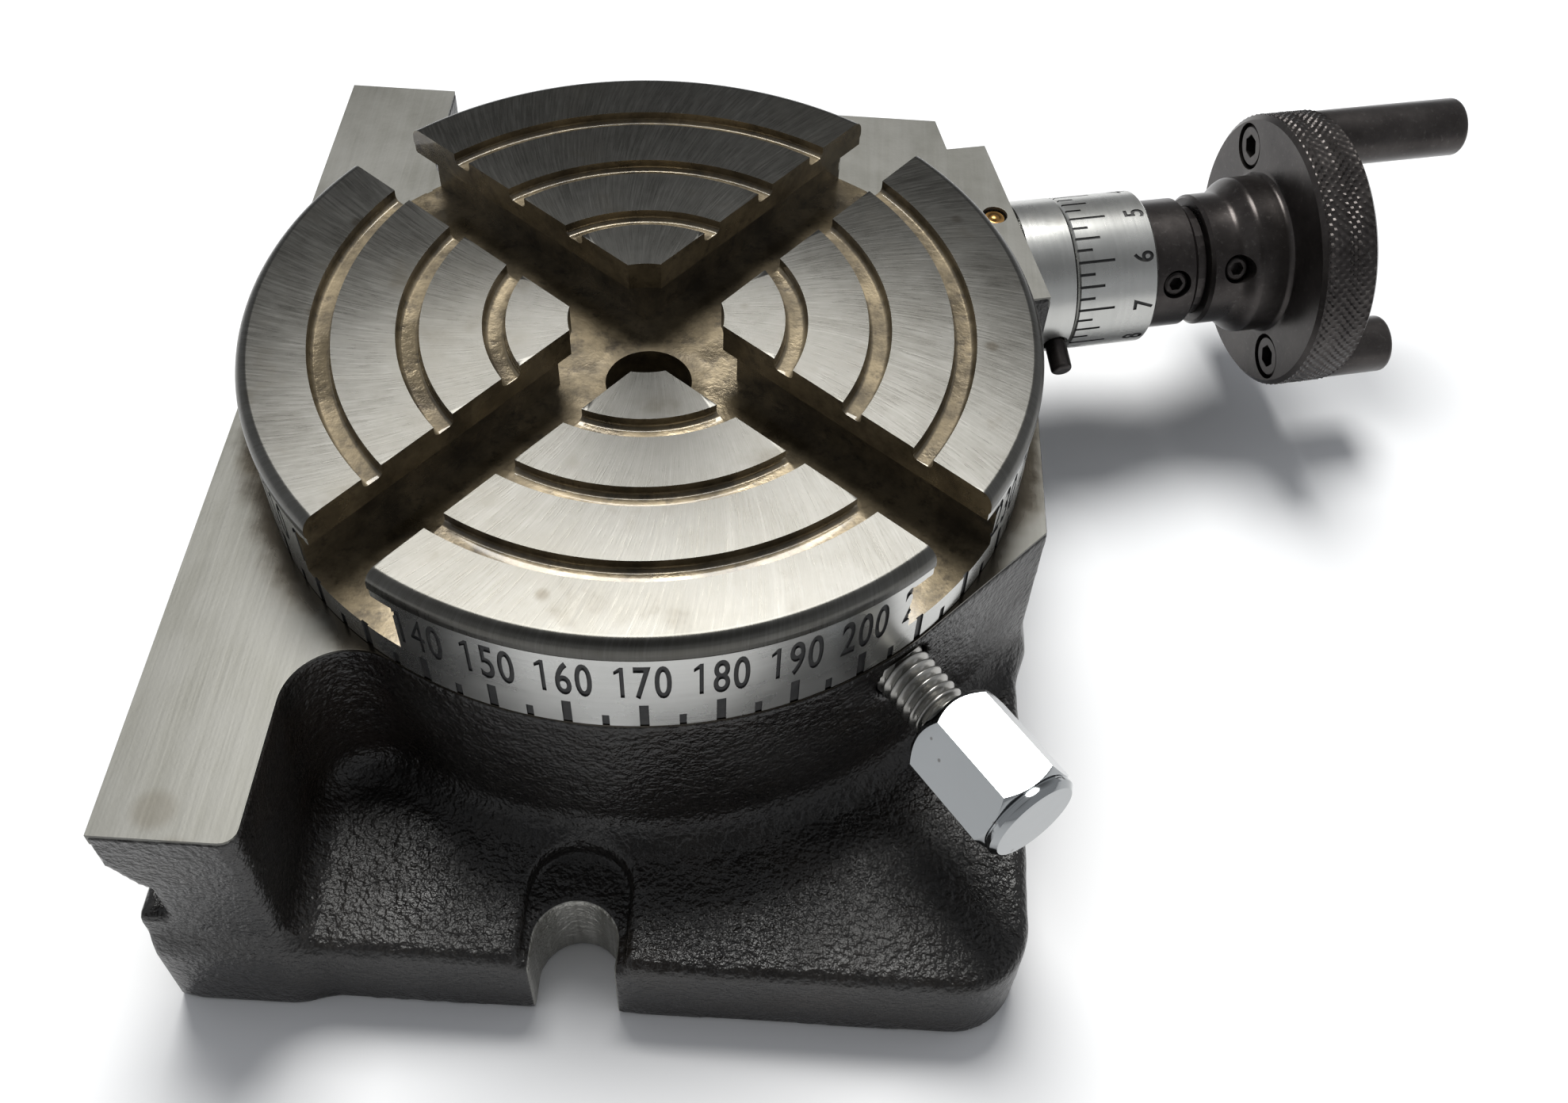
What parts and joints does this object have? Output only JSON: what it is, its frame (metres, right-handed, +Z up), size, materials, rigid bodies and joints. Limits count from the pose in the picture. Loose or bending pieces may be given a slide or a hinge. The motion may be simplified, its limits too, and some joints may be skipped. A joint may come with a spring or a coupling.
{
  "type": "rotary table",
  "caption": "Small horizontal and vertical rotary table with a graduated T-slot plate, worm drive, handwheel with dial, and table lock.",
  "frame": {"origin": "on the table's axis, in the plane the base stands on", "axes": "+Z up along the table's axis, -Y towards the front clamping lug, -X towards the vertical mounting face, +X towards the handwheel"},
  "size_m": [0.1421, 0.1153, 0.0455],
  "materials": {
    "cast": "rough cast, gloss black paint",
    "ground": "ground, fine turning marks",
    "steel": "machined",
    "black": "black oxide",
    "chrome": "polished",
    "satin": "satin, engraved and filled black",
    "bronze": "machined"
  },
  "bodies": {
    "base": {"base_casting": "cast", "bottom_cover": "steel", "cover_screw_1": "black", "cover_screw_2": "black", "cover_screw_3": "black", "cover_screw_4": "black", "spindle_bush": "bronze", "oiler": "bronze", "sleeve_stop_screw": "black"},
    "table": {"table_plate": "ground", "worm_wheel": "bronze", "worm_wheel_screw_1": "black", "worm_wheel_screw_2": "black", "worm_wheel_screw_3": "black", "spindle_nut": "steel"},
    "eccentric": {"eccentric_sleeve": "satin", "engage_pin": "black"},
    "worm": {"worm_shaft": "steel", "thrust_washer": "bronze", "hub_washer": "black", "handwheel": "black", "handwheel_set_screw": "black", "long_handle_pin": "black", "short_handle_pin": "black", "long_pin_screw": "black", "short_pin_screw": "black"},
    "dial": {"dial_ring": "satin", "dial_collar": "black", "dial_set_screw": "black"},
    "lock_pad": {"clamp_pad": "bronze"},
    "lock_screw": {"lock_stud": "steel", "lock_knob": "chrome"}
  },
  "joints": [
    {"name": "table_spin", "type": "hinge", "parent": "base", "child": "table", "pos_m": [0, 0, 0.0393], "axis": [0, 0, 1], "continuous": true},
    {"name": "worm_engage", "type": "hinge", "parent": "base", "child": "eccentric", "pos_m": [-0.0061, 0.02445, 0.0232], "axis": [0.9703, 0.2419, 0], "range_deg": [0, 90]},
    {"name": "worm_spin", "type": "hinge", "parent": "eccentric", "child": "worm", "pos_m": [-0.00556, 0.02232, 0.0232], "axis": [0.9703, 0.2419, 0], "continuous": true},
    {"name": "dial_set", "type": "hinge", "parent": "worm", "child": "dial", "pos_m": [-0.00556, 0.02232, 0.0232], "axis": [0.9703, 0.2419, 0], "continuous": true},
    {"name": "lock_travel", "type": "slide", "parent": "base", "child": "lock_pad", "axis": [0.6129, -0.7902, 0], "range_m": [-0.000277, 0.000499]},
    {"name": "lock_turn", "type": "hinge", "parent": "lock_pad", "child": "lock_screw", "pos_m": [0.03546, -0.03957, 0.0284], "axis": [0.6129, -0.7902, 0], "range_deg": [-100, 180]}
  ],
  "couplings": [
    {"joint": "worm_spin", "follows": "table_spin", "ratio": 36},
    {"joint": "lock_turn", "follows": "lock_travel", "rad_per_m": 6289.3}
  ]
}
